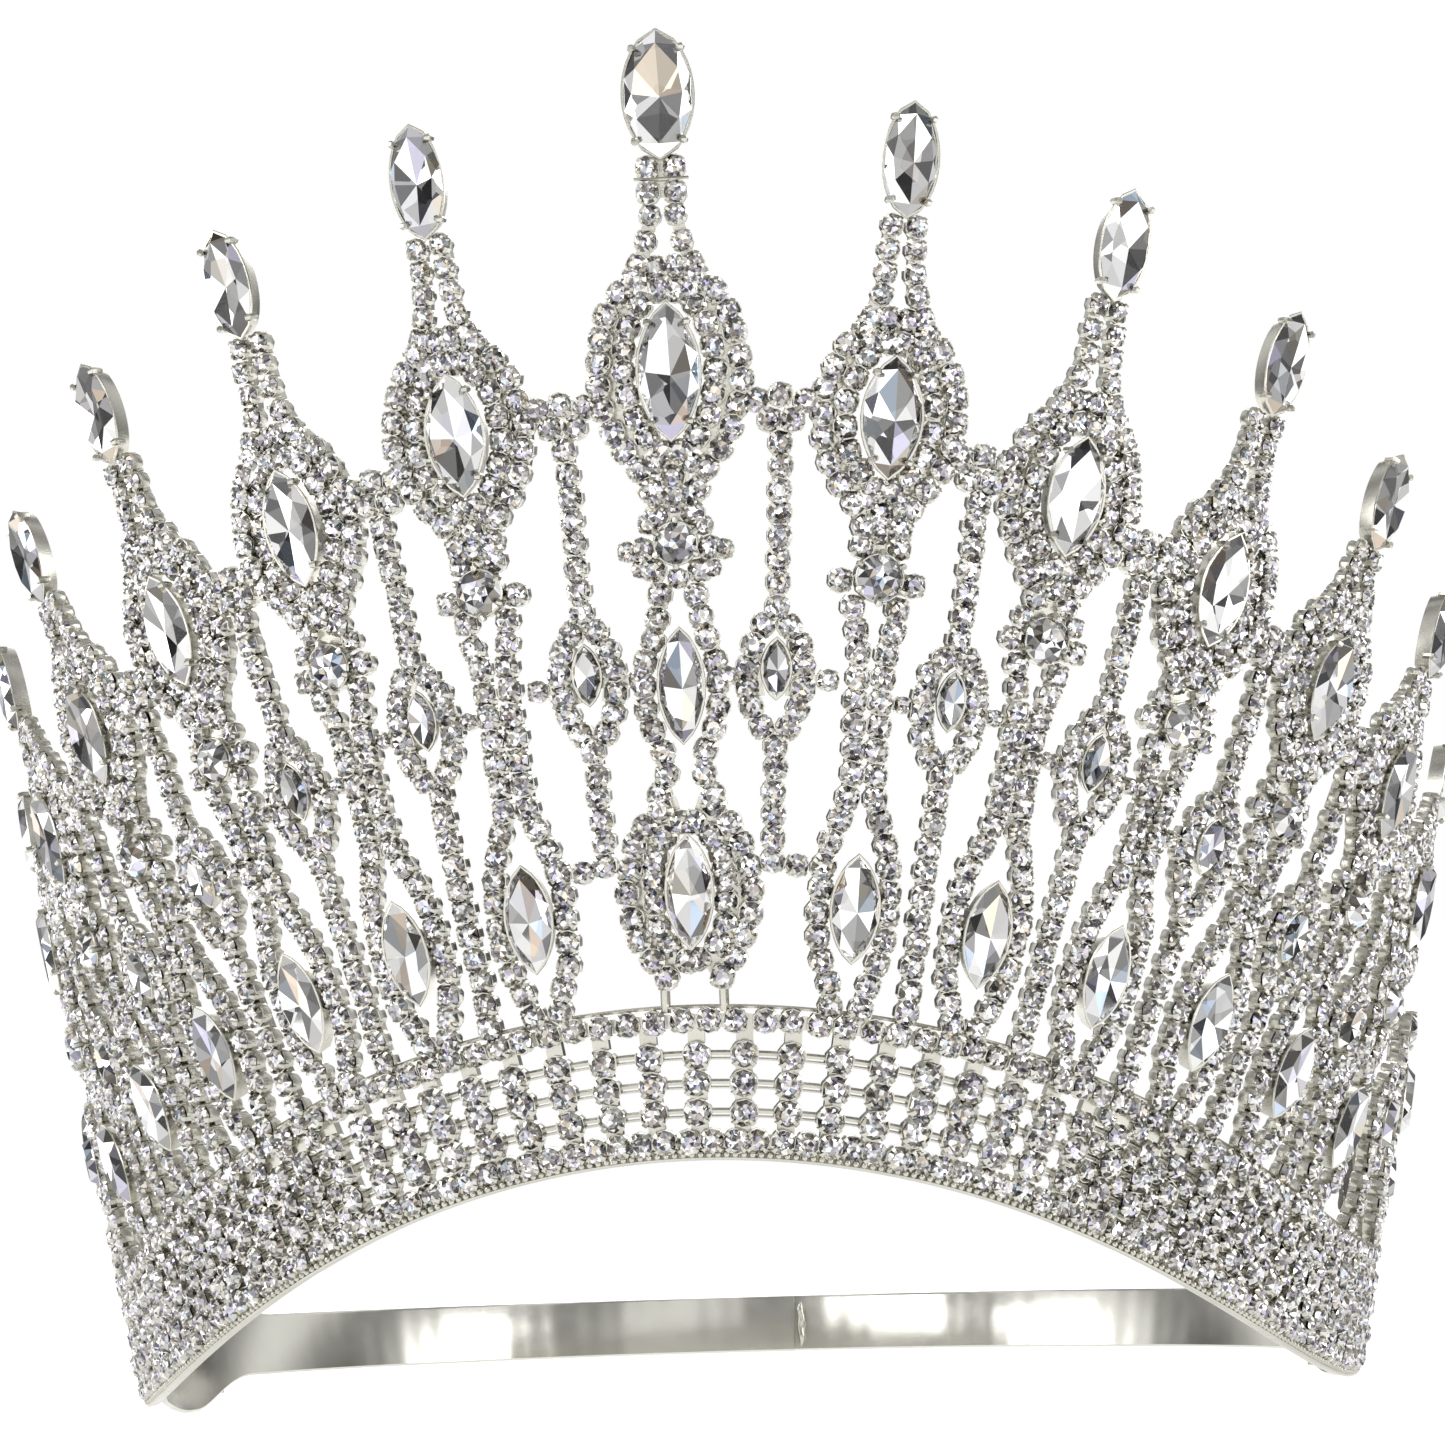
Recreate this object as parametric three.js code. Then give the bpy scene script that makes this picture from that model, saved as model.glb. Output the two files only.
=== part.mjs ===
// Bridal tiara: an openwork crown of rhinestone columns standing on a lattice base band,
// closed behind the head by a polished strap in two soldered halves.
//
// Millimetres, +Z up. The origin is the centre of the head opening, in the plane of the
// strap's lower edge. The front of the tiara faces -Y, and "left" is the side towards -X.
//
// The whole wall lies on one cone that opens upwards. Every plate is drawn in the flat
// pattern of that cone, as a jeweller lays it out, and is then rolled onto the cone.
import * as THREE from 'three';
import { ConvexGeometry } from 'three/addons/geometries/ConvexGeometry.js';
import { mergeVertices } from 'three/addons/utils/BufferGeometryUtils.js';

// Driving dimensions of the wall
const BASE_RADIUS = 71;
const FLARE = Math.atan(0.19);
const FRONT_RISE = 25.2;
const EDGE_LOW = -2;
const RISE_HALF_ANGLE = 78;
const BAND_HEIGHT = 15.8;
const BAND_HALF_ANGLE = 106;
const GAP = 0.35;
const FOOT_GAP = 0.6;

// Driving dimensions of the fan of columns, counted outwards from the centre
const FIRST_SPACING = 13.25;
const SPACING = 9.95;
const FIRST_TILT = 6.5;
const TILT_STEP = 7.9;
const END_SPACING = 23;
const LAST_TALL = 6;
const OUTER_COLUMN = 8;

// Heights along a column above the band's lower edge, from the centre column outwards
const LOWER_STONE = [27, 26, 25.8, 25.3, 25.6, 26, 26];
const CHATON = [61.6, 59, 55.9, 52.3, 49.1, 46.5, 42.5];
const MAIN_STONE = [78, 74.9, 70.7, 67.1, 64.3, 61.5, 56.5, 37, 26];
const TIP_STONE = [105.7, 100.4, 96.6, 92, 86.6, 82.1, 74.5, 49, 35];
const BRIDGE_STONE = [48.5, 47.2, 44.8, 41.5, 38.2, 35];
const SECOND_STONE_C = 47.5;
const CENTRE_BRIDGE_FOOT = 31.5;

// Plates, stones and strap
const PLATE_BACK = -0.6;
const PLATE_FRONT = 0.7;
const NECK_HALF = 2.6;
const HALO_HALF = 7.9;
const HALO_HALF_C = 8.7;
const LINK_HALF = 1.5;
const CHAIN_HALF = 1.25;
const MAIN_STONE_SIZE = [6, 12.4];
const TIP_STONE_SIZE = [5.4, 10.8];
const TIP_STONE_SIZE_C = [6.8, 13.2];
const STRAP_HEIGHT = 7.5;
const STRAP_INNER = -1.9;
const STRAP_THICKNESS = 0.8;
const STRAP_LAP = 1.5;
const STRAP_FACETS = 30;

const silver = new THREE.MeshStandardMaterial({ color: 0xd9d9d6, roughness: 0.25, metalness: 1 });
const polished = new THREE.MeshStandardMaterial({ color: 0xd2d2ce, roughness: 0.12, metalness: 1 });
const crystal = new THREE.MeshStandardMaterial({ color: 0xeef2f5, roughness: 0.05, metalness: 0.1 });

const rad = THREE.MathUtils.degToRad;
const APEX = BASE_RADIUS / Math.sin(FLARE);

// ---- The cone and its flat pattern ----

// Flat pattern point (x across, y up from the base circle's front) to a point in space,
// standing proud of the mean surface by `out`.
function roll(x, y, out) {
  const angle = Math.atan2(x, y + APEX) / Math.sin(FLARE);
  const slant = Math.hypot(x, y + APEX) - APEX;
  const radius = BASE_RADIUS + slant * Math.sin(FLARE) + out * Math.cos(FLARE);
  const z = slant * Math.cos(FLARE) - out * Math.sin(FLARE);
  return new THREE.Vector3(radius * Math.sin(angle), -radius * Math.cos(angle), z);
}

// Point of the flat pattern at an angle round the head (degrees) and a height z.
function unroll(degrees, z) {
  const theta = rad(degrees) * Math.sin(FLARE);
  const rho = APEX + z / Math.cos(FLARE);
  return new THREE.Vector2(rho * Math.sin(theta), rho * Math.cos(theta) - APEX);
}

// Height z of the band's lower edge, arched over the forehead.
function edgeHeight(degrees) {
  const t = Math.min(Math.abs(degrees) / RISE_HALF_ANGLE, 1);
  return EDGE_LOW + FRONT_RISE * Math.cos(t * Math.PI / 2) ** 2;
}

function edgePoint(degrees) {
  return unroll(degrees, edgeHeight(degrees));
}

// A point of the flat pattern at a distance up from the lower edge, square to it.
function aboveEdge(degrees, distance) {
  const step = 0.5;
  const along = edgePoint(degrees + step).sub(edgePoint(degrees - step)).normalize();
  return edgePoint(degrees).add(new THREE.Vector2(-along.y, along.x).multiplyScalar(distance));
}

const EDGE = [];
for (let degrees = -BAND_HALF_ANGLE - 6; degrees <= BAND_HALF_ANGLE + 6; degrees += 1) {
  EDGE.push(edgePoint(degrees));
}

function distanceFromEdge(point) {
  const segment = new THREE.Line3();
  const nearest = new THREE.Vector3();
  const p = new THREE.Vector3(point.x, point.y, 0);
  let best = Infinity;
  for (let i = 1; i < EDGE.length; i += 1) {
    segment.start.set(EDGE[i - 1].x, EDGE[i - 1].y, 0);
    segment.end.set(EDGE[i].x, EDGE[i].y, 0);
    segment.closestPointToPoint(p, true, nearest);
    best = Math.min(best, nearest.distanceTo(p));
  }
  return best;
}

// ---- Columns ----

// The tall columns fan out evenly. The short ones beyond them keep the last one's tilt.
function baseX(n) {
  if (n === 0) return 0;
  const tall = Math.min(n, LAST_TALL);
  return FIRST_SPACING + SPACING * (tall - 1) + END_SPACING * (n - tall);
}

function baseTilt(n) {
  return n === 0 ? 0 : FIRST_TILT + TILT_STEP * (Math.min(n, LAST_TALL) - 1);
}

// Base point and tilt of column `index` in the flat pattern. Half numbers lie between two
// columns, and negative numbers are the left side.
function columnAt(index) {
  const n = Math.abs(index);
  const side = Math.sign(index);
  const inner = Math.floor(n);
  const outer = Math.ceil(n);
  const x = (baseX(inner) + baseX(outer)) / 2;
  const tilt = rad((baseTilt(inner) + baseTilt(outer)) / 2);
  let low = 0;
  let high = BAND_HALF_ANGLE;
  for (let i = 0; i < 40; i += 1) {
    const middle = (low + high) / 2;
    if (edgePoint(middle).x < x) low = middle;
    else high = middle;
  }
  return { base: new THREE.Vector2(side * x, edgePoint(low).y), tilt: side * tilt };
}

// A point of a column's own frame (x across, h up along it) in the flat pattern.
function inColumn(column, x, h) {
  const c = Math.cos(column.tilt);
  const s = Math.sin(column.tilt);
  return new THREE.Vector2(column.base.x + x * c + h * s, column.base.y - x * s + h * c);
}

// The height along a column, at `x` across, where the band's upper edge is cleared.
function footHeight(column, x) {
  let h = BAND_HEIGHT - 8;
  while (distanceFromEdge(inColumn(column, x, h)) < BAND_HEIGHT + FOOT_GAP) h += 0.1;
  return h;
}

// ---- Solids ----

function closed(geometry) {
  geometry.deleteAttribute('normal');
  geometry.deleteAttribute('uv');
  const merged = mergeVertices(geometry, 1e-4);
  merged.computeVertexNormals();
  return merged;
}

function moved(geometry, place) {
  const position = geometry.attributes.position;
  const p = new THREE.Vector3();
  for (let i = 0; i < position.count; i += 1) {
    p.fromBufferAttribute(position, i);
    const q = place(p);
    position.setXYZ(i, q.x, q.y, q.z);
  }
  return closed(geometry);
}

const tiara = new THREE.Group();

function add(name, geometry, material) {
  const mesh = new THREE.Mesh(geometry, material);
  mesh.name = name;
  tiara.add(mesh);
}

// A plate with the outline and openings of `shape`, drawn in a column's own frame.
function plate(column, shape) {
  const options = { depth: PLATE_FRONT - PLATE_BACK, bevelEnabled: false, curveSegments: 5 };
  return moved(new THREE.ExtrudeGeometry(shape, options), (p) => {
    const flat = inColumn(column, p.x, p.y);
    return roll(flat.x, flat.y, PLATE_BACK + p.z);
  });
}

// Marquise outline: two arcs that meet in points at top and bottom.
function marquise(width, length, h, samples) {
  const points = [];
  for (let i = 0; i < samples; i += 1) {
    const t = (2 * i) / samples;
    const up = t < 1 ? 1 - 2 * t : 2 * t - 3;
    const across = (1 - up * up) * (t < 1 ? 1 : -1);
    points.push(new THREE.Vector2(across * width / 2, h + up * length / 2));
  }
  return points;
}

// A cut marquise stone: flat table, crown, girdle and pointed back.
function stone(column, size, h, girdle, crown, back) {
  const [width, length] = size;
  const points = [];
  const ring = (scale, out) => {
    for (const p of marquise(width * scale, length * scale, h, 16)) {
      const flat = inColumn(column, p.x, p.y);
      points.push(roll(flat.x, flat.y, out));
    }
  };
  ring(1, girdle);
  ring(0.55, crown);
  ring(0.35, back);
  return closed(new ConvexGeometry(points));
}

// Outline of a plate from its half widths at rising heights: [h, half width].
function outlineOf(stations, foot) {
  const shape = new THREE.Shape();
  const right = stations.map(([h, w]) => new THREE.Vector2(w, h));
  const left = stations.map(([h, w]) => new THREE.Vector2(-w, h)).reverse();
  right[0].y = foot(right[0].x);
  left[left.length - 1].y = foot(left[left.length - 1].x);
  shape.setFromPoints([...right, ...left]);
  return shape;
}

// Half widths of a swelling from `narrow` to `wide` centred at h.
function swelling(h, half, narrow, wide) {
  return [-1, -0.7, -0.35, 0, 0.35, 0.7, 1].map((t) => [
    h + t * half,
    narrow + (wide - narrow) * Math.cos(t * Math.PI / 2) ** 0.8,
  ]);
}

// ---- Column frames ----

// The narrow waist that carries the round chaton between its two ear stones.
function chatonStations(h) {
  return [[h - 3, 2.2], [h - 1.3, 5.2], [h + 1.2, 5.2], [h + 2.8, 2.6]];
}

function centreStations() {
  return [
    [0, 4],
    ...swelling(LOWER_STONE[0], 9.2, 2.6, 7.3),
    ...swelling(SECOND_STONE_C, 7.2, 2.3, 4),
    ...chatonStations(CHATON[0]),
    ...swelling(MAIN_STONE[0], 12.3, NECK_HALF, HALO_HALF_C),
    [TIP_STONE[0] - TIP_STONE_SIZE_C[1] / 2 - GAP, 2.9],
  ];
}

function sideStations(n) {
  return [
    [0, 3.4],
    ...swelling(LOWER_STONE[n], 7.5, 2.4, 4.5).slice(1),
    ...chatonStations(CHATON[n]),
    ...swelling(MAIN_STONE[n], 10.6, NECK_HALF, HALO_HALF),
    [TIP_STONE[n] - TIP_STONE_SIZE[1] / 2 - GAP, 2.2],
  ];
}

// The short columns at the ends of the band have no chaton.
function endStations(n) {
  return [
    [0, 2.4],
    ...swelling(MAIN_STONE[n], 7.5, 2, 4).slice(1),
    [TIP_STONE[n], 1.6],
  ];
}

function marquiseHole(size, h) {
  const grown = [size[0] + 2 * GAP, size[1] + 4 * GAP];
  return new THREE.Path().setFromPoints(marquise(...grown, h, 16));
}

function nameOf(index) {
  if (index === 0) return 'c';
  return (index < 0 ? 'l' : 'r') + Math.ceil(Math.abs(index));
}

for (let index = -OUTER_COLUMN; index <= OUTER_COLUMN; index += 1) {
  const n = Math.abs(index);
  const column = columnAt(index);
  const foot = (x) => footHeight(column, x);
  let stations = sideStations(n);
  if (n === 0) stations = centreStations();
  if (n > LAST_TALL) stations = endStations(n);
  const shape = outlineOf(stations, foot);
  if (n <= LAST_TALL) {
    const tipSize = n === 0 ? TIP_STONE_SIZE_C : TIP_STONE_SIZE;
    const mainStone = stone(column, MAIN_STONE_SIZE, MAIN_STONE[n], 0.5, 2.2, -0.9);
    const tipStone = stone(column, tipSize, TIP_STONE[n], 0.6, 2.4, -1.2);
    shape.holes.push(marquiseHole(MAIN_STONE_SIZE, MAIN_STONE[n]));
    add(`main_stone_${nameOf(index)}`, mainStone, crystal);
    add(`tip_stone_${nameOf(index)}`, tipStone, crystal);
  }
  add(`column_frame_${nameOf(index)}`, plate(column, shape), silver);
}

// ---- Bridges between the columns ----

// A bridge spans two main haloes, drops as a single chain to a small stone and goes on down.
function bridgeStations(n) {
  const h = BRIDGE_STONE[n];
  const top = (MAIN_STONE[n] + MAIN_STONE[n + 1]) / 2 - 1.5;
  const foot = n === 0 ? CENTRE_BRIDGE_FOOT : 0;
  return [
    [foot, CHAIN_HALF],
    ...swelling(h, 6.3, CHAIN_HALF, 3.7),
    [top - 2.6, CHAIN_HALF],
    [top - 1.2, LINK_HALF],
    [top + 1.2, LINK_HALF],
    [top + 2, 1],
  ];
}

for (let n = 0; n < BRIDGE_STONE.length; n += 1) {
  for (const side of [-1, 1]) {
    const index = side * (n + 0.5);
    const column = columnAt(index);
    const foot = n === 0 ? () => CENTRE_BRIDGE_FOOT : (x) => footHeight(column, x);
    add(`bridge_${nameOf(index)}`, plate(column, outlineOf(bridgeStations(n), foot)), silver);
  }
}

// ---- Base band and its milgrain rim ----

// A ribbon along the lower edge between two angles, two distances up and two depths.
function edgeRibbon(halfAngle, low, high, back, front, steps) {
  const box = new THREE.BoxGeometry(2 * halfAngle, high - low, front - back, steps, 1, 1);
  return moved(box, (p) => {
    const flat = aboveEdge(p.x, (low + high) / 2 + p.y);
    return roll(flat.x, flat.y, (back + front) / 2 + p.z);
  });
}

const RIM_HEIGHT = 1.5;
add('base_band', edgeRibbon(BAND_HALF_ANGLE, RIM_HEIGHT + GAP, BAND_HEIGHT, -0.6, 0.7, 72), silver);
add('milgrain_rim', edgeRibbon(BAND_HALF_ANGLE, 0, RIM_HEIGHT, -0.7, 0.9, 72), polished);

// ---- Back strap ----

// Each half is a paddle soldered inside the end of the band, which narrows to a plain strap.
const PADDLE_FRONT = 76.5;
const PADDLE_ROUND = 5;
const PADDLE_LOW = -3.6;
const PADDLE_LOW_RIGHT = -2.6;
const PADDLE_HIGH = 11;

function smooth(from, to, t) {
  return THREE.MathUtils.smoothstep(t, from, to);
}

// How far the paddle's front corners are rounded off, as a share of the corner's height.
function cornerCut(degrees) {
  const t = THREE.MathUtils.clamp((PADDLE_FRONT + PADDLE_ROUND - degrees) / PADDLE_ROUND, 0, 1);
  return 1 - Math.sqrt(1 - t * t);
}

// The right paddle is soldered a little higher in the band than the left one.
function strapLow(degrees, side) {
  const drop = side < 0 ? PADDLE_LOW : PADDLE_LOW_RIGHT;
  const lobe = (0.5 + 0.5 * smooth(78, 92, degrees)) * (1 - smooth(101, 111, degrees));
  return drop * lobe + PADDLE_ROUND * cornerCut(degrees);
}

function strapHigh(degrees) {
  const shoulder = (PADDLE_HIGH - STRAP_HEIGHT) * (1 - smooth(102, 117, degrees));
  return STRAP_HEIGHT + shoulder - PADDLE_ROUND * cornerCut(degrees);
}

// One strap half on the side given by `side`; `outset` moves its free end outwards so that
// the two halves lap at the back of the head.
function strapHalf(side, outset) {
  const end = 180 + STRAP_LAP;
  const box = new THREE.BoxGeometry(end - PADDLE_FRONT, 1, STRAP_THICKNESS, STRAP_FACETS, 1, 1);
  return moved(box, (p) => {
    const degrees = side > 0 ? (end + PADDLE_FRONT) / 2 + p.x : (end + PADDLE_FRONT) / 2 - p.x;
    const low = strapLow(degrees, side);
    const high = strapHigh(degrees);
    const z = (low + high) / 2 + p.y * (high - low);
    const out = STRAP_INNER + STRAP_THICKNESS / 2 + p.z + outset * smooth(140, 170, degrees);
    const radius = BASE_RADIUS + z * Math.tan(FLARE) + out;
    const angle = rad(side * degrees);
    return new THREE.Vector3(radius * Math.sin(angle), -radius * Math.cos(angle), z);
  });
}

add('back_strap_left', strapHalf(-1, 0), polished);
add('back_strap_right', strapHalf(1, STRAP_THICKNESS + GAP), polished);

// Solder fillet standing in the step where the left half ends on the right half.
const SOLDER_RADIUS = 0.4;
const bead = new THREE.CylinderGeometry(SOLDER_RADIUS, SOLDER_RADIUS, STRAP_HEIGHT - 1.5, 8, 1);
bead.rotateX(Math.PI / 2);
const beadAngle = rad(180 - STRAP_LAP - 0.8);
const beadRadius = BASE_RADIUS + STRAP_HEIGHT / 2 * Math.tan(FLARE) + STRAP_INNER + 0.2;
bead.translate(beadRadius * Math.sin(beadAngle), -beadRadius * Math.cos(beadAngle), STRAP_HEIGHT / 2);
add('strap_solder', closed(bead), polished);

export default tiara;
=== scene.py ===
"""Looks of the bridal tiara: rhinestone columns on an openwork band, with a polished strap.

Lengths are millimetres until a mesh is made, and the frame is the CAD model's: +Z up, front
towards -Y. The wall is a cone, so every piece is laid out on the cone's flat pattern, in the
same way as the CAD plates, and then rolled onto it.
"""

import math
import random

import bpy
import numpy as np
from mathutils import Matrix, Vector


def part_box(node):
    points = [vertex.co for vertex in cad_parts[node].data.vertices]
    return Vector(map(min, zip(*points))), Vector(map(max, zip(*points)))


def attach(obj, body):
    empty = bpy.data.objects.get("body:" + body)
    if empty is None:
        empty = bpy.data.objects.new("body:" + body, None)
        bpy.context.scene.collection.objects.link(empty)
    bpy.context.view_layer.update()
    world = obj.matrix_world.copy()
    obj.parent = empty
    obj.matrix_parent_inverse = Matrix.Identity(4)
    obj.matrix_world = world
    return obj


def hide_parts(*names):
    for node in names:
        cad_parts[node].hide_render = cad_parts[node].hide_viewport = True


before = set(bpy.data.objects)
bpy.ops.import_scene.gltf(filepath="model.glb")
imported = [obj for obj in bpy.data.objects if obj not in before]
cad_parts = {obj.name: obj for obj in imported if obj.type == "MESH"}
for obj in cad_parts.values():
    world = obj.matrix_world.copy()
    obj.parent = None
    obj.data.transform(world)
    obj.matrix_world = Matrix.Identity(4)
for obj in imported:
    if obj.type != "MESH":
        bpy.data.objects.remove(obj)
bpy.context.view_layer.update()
random.seed(7)

# Wall, band and columns, as in the CAD model; the lists run outwards from the middle column
BASE_RADIUS = 71.0
FLARE = math.atan(0.19)
APEX = BASE_RADIUS / math.sin(FLARE)
FRONT_RISE = 25.2
EDGE_LOW = -2.0
RISE_HALF_ANGLE = 78.0
BAND_HEIGHT = 15.8
BAND_HALF_ANGLE = 106.0
FIRST_SPACING = 13.25
SPACING = 9.95
FIRST_TILT = 6.5
TILT_STEP = 7.9
END_SPACING = 23.0
LAST_TALL = 6
OUTER_COLUMN = 8
LOWER_STONE = [27, 26, 25.8, 25.3, 25.6, 26, 26]
CHATON = [61.6, 59, 55.9, 52.3, 49.1, 46.5, 42.5]
MAIN_STONE = [78, 74.9, 70.7, 67.1, 64.3, 61.5, 56.5, 37, 26]
TIP_STONE = [105.7, 100.4, 96.6, 92, 86.6, 82.1, 74.5, 49, 35]
BRIDGE_STONE = [48.5, 47.2, 44.8, 41.5, 38.2, 35]
SECOND_STONE_C = 47.5
BRIDGE_FOOT_C = 30.2
FOOT_CLEAR = 0.3
DROP_STONES = ((6.5, 31.0), (7.5, 27.0))    # place between two columns, height

# Width and length of the marquise stones, and the chatons' radii; C is the middle column
MAIN_SIZE, MAIN_SIZE_C = (6.2, 12.2), (6.3, 13.6)
TIP_SIZE, TIP_SIZE_C = (5.6, 11.4), (7.0, 12.6)
LOWER_SIZE, LOWER_SIZE_C, SECOND_SIZE_C = (4.9, 10.8), (4.7, 11.4), (4.6, 11.4)
BRIDGE_SIZE, END_SIZE, DROP_SIZE = (2.9, 6.0), (4.4, 9.2), (3.0, 6.6)
CHATON_RADIUS, CHATON_RADIUS_C, CHATON_RADIUS_END = 2.35, 2.1, 1.9

# The band: heights of its rows over its lower edge, spacing along it, and angles from the front
BAND_PITCH = 4.15
BAND_INSET = 1.3
BAND_ROWS = [4.8, 7.7, 10.6]
BAND_EDGES = [1.95, 14.0]
BAND_FILL = [3.4, 6.25, 9.15, 12.3]
EDGE_PITCH = 2.3
EDGE_MARGIN = 8.0
OPEN_HALF_ANGLE = 27.0
DEEP_FROM_ANGLE = 32.0
PADDLE_CLEAR_ANGLE = 74.0
UPRIGHT_HALF = 0.85
UPRIGHT_DEEP = -2.4
BEAD_PITCH = 0.86

# The strap, as in the CAD model
PADDLE_FRONT = 76.5
STRAP_SWEEP = 105.0
PADDLE_ROUND = 5.0
PADDLE_LOW = -3.6
PADDLE_LOW_RIGHT = -2.6
STRAP_HEIGHT = 7.5
PADDLE_RISE = 3.5
STRAP_MIDDLE = -1.5
LAP_OUTSET = 1.15

# Degrees from the front between which the strap's shape changes
LOBE_OPENS, LOBE_CLOSES = (78, 94), (96, 111)    # the lobe that hangs below the paddle
SHOULDER = (102, 117)                            # its upper edge comes down to the strap's
RIPPLE_FROM = (118, 135)                         # faint waves, as bending by hand leaves
LAP_FROM = (140, 170)                            # the outer half steps over the inner one

# Small stones and their cups
PITCH = 2.36
STONE_RADIUS = 1.26
CUP_RADIUS = 1.33
CUP_SIDES = 10
RAIL_HALF = 0.72
RAIL_BACK = -1.0
RAIL_FRONT = -0.1
CUP_TOP = 0.42
BLUNT = 0.78
STONE_LIFT = 0.06
STONE_SHIFT = (0.07, 0.07, 0.12)
STONE_TIP = 0.07

# The camera, in metres, radians and millimetres of lens
CAMERA_PLACE = (0.02682, -0.45161, 0.01480)
CAMERA_YAW, CAMERA_PITCH, CAMERA_LEAN = -0.06225, 0.13817, 0.02788
CAMERA_LENS = 93.43


# ---- The cone and its flat pattern ----

def roll(x, y, out=0.0):
    """Point in space of a flat-pattern point, standing proud of the wall by `out`."""
    angle = math.atan2(x, y + APEX) / math.sin(FLARE)
    slant = math.hypot(x, y + APEX) - APEX
    radius = BASE_RADIUS + slant * math.sin(FLARE) + out * math.cos(FLARE)
    z = slant * math.cos(FLARE) - out * math.sin(FLARE)
    return np.array([radius * math.sin(angle), -radius * math.cos(angle), z])


def unroll(degrees, z):
    """Flat-pattern point of a place on the cone."""
    theta = math.radians(degrees) * math.sin(FLARE)
    rho = APEX + z / math.cos(FLARE)
    return np.array([rho * math.sin(theta), rho * math.cos(theta) - APEX])


def seat(x, y, out=0.0, turn=0.0):
    """A 4x4 place on the wall: its z axis points outwards, its y axis up turned by `turn`."""
    theta = math.atan2(x, y + APEX)
    angle = theta / math.sin(FLARE)
    along = np.array([math.cos(angle), math.sin(angle), 0])
    upward = np.array([math.sin(angle) * math.sin(FLARE), -math.cos(angle) * math.sin(FLARE),
                       math.cos(FLARE)])
    outward = np.array([math.sin(angle) * math.cos(FLARE), -math.cos(angle) * math.cos(FLARE),
                        -math.sin(FLARE)])
    flat_x = math.cos(theta) * along + math.sin(theta) * upward
    flat_y = -math.sin(theta) * along + math.cos(theta) * upward
    place = np.eye(4)
    place[:3, 0] = math.cos(turn) * flat_x + math.sin(turn) * flat_y
    place[:3, 1] = -math.sin(turn) * flat_x + math.cos(turn) * flat_y
    place[:3, 2] = outward
    place[:3, 3] = roll(x, y, out)
    return place


def edge_height(degrees):
    """Height of the band's lower edge, which arches over the forehead."""
    t = min(abs(degrees) / RISE_HALF_ANGLE, 1)
    return EDGE_LOW + FRONT_RISE * math.cos(t * math.pi / 2) ** 2


def edge_point(degrees):
    """Flat-pattern point of the band's lower edge."""
    return unroll(degrees, edge_height(degrees))


EDGE_LIMIT = BAND_HALF_ANGLE + EDGE_MARGIN
EDGE_ANGLES = np.arange(-EDGE_LIMIT, EDGE_LIMIT + 0.01, 0.5)
EDGE = np.array([edge_point(a) for a in EDGE_ANGLES])
EDGE_RUN = np.concatenate([[0], np.cumsum(np.hypot(*np.diff(EDGE, axis=0).T))])
EDGE_RUN -= np.interp(0, EDGE_ANGLES, EDGE_RUN)
HALF_RUN = float(np.interp(BAND_HALF_ANGLE, EDGE_ANGLES, EDGE_RUN))


def band_point(run, up):
    """Flat point and turn at a distance along the band's lower edge and a distance above it."""
    before = np.array([np.interp(run - 0.5, EDGE_RUN, EDGE[:, i]) for i in (0, 1)])
    after = np.array([np.interp(run + 0.5, EDGE_RUN, EDGE[:, i]) for i in (0, 1)])
    way = (after - before) / np.linalg.norm(after - before)
    middle = (before + after) / 2
    return middle + up * np.array([-way[1], way[0]]), math.atan2(way[1], way[0])


def edge_angle(run):
    """Degrees from the front of the cone at a distance along the band's edge, always positive."""
    return abs(float(np.interp(run, EDGE_RUN, EDGE_ANGLES)))


def distance_from_edge(point):
    """Shortest distance of a flat-pattern point from the band's lower edge."""
    a, b = EDGE[:-1], EDGE[1:]
    ab = b - a
    t = np.clip(((point - a) * ab).sum(1) / (ab * ab).sum(1), 0, 1)
    return float(np.hypot(*(a + t[:, None] * ab - point).T).min())


# ---- Columns ----

def base_x(n):
    """Distance of column n from the middle, along the flat pattern's x axis."""
    if n == 0:
        return 0.0
    tall = min(n, LAST_TALL)
    return FIRST_SPACING + SPACING * (tall - 1) + END_SPACING * (n - tall)


def base_tilt(n):
    """Degrees by which column n leans outwards on the flat pattern."""
    return 0.0 if n == 0 else FIRST_TILT + TILT_STEP * (min(n, LAST_TALL) - 1)


class Column:
    """A column's own frame: x across it and h up along it. Half numbers lie between columns."""

    def __init__(self, index):
        n, side = abs(index), (index > 0) - (index < 0)
        inner, outer = math.floor(n), math.ceil(n)
        x = (base_x(inner) + base_x(outer)) / 2
        self.tilt = side * math.radians((base_tilt(inner) + base_tilt(outer)) / 2)
        right = EDGE_ANGLES >= 0
        self.base = np.array([side * x, np.interp(x, EDGE[right, 0], EDGE[right, 1])])

    def flat(self, x, h):
        c, s = math.cos(self.tilt), math.sin(self.tilt)
        return self.base + np.array([x * c + h * s, -x * s + h * c])

    def seat(self, x, h, out=0.0, turn=0.0):
        return seat(*self.flat(x, h), out, turn - self.tilt)

    def foot(self, x=0.0, clear=0.0):
        """Height at which the column stands `clear` above the band's top."""
        h = 8.0
        while distance_from_edge(self.flat(x, h)) < BAND_HEIGHT + clear:
            h += 0.1
        return h


# ---- Mesh building ----

# Painted reflections of the crystals: each facet's colour gets a grey from near black to white for
# the light it would reflect, and now and then a painted tint of fire
PAINTED_GLINT_GREYS = [0.06, 0.16, 0.3, 0.5, 0.75, 1.0]
FACET_SHARES = [15, 18, 18, 18, 16, 15]
LARGE_SHARES = [12, 14, 18, 22, 20, 14]
PAINTED_FIRE_TINTS = [(1, 1, 1), (0.8, 0.77, 1.0), (1.0, 0.86, 0.68), (0.66, 0.8, 1.0), (0.62, 0.5, 0.4)]
TINT_SHARES = [76, 8, 7, 6, 3]


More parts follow.
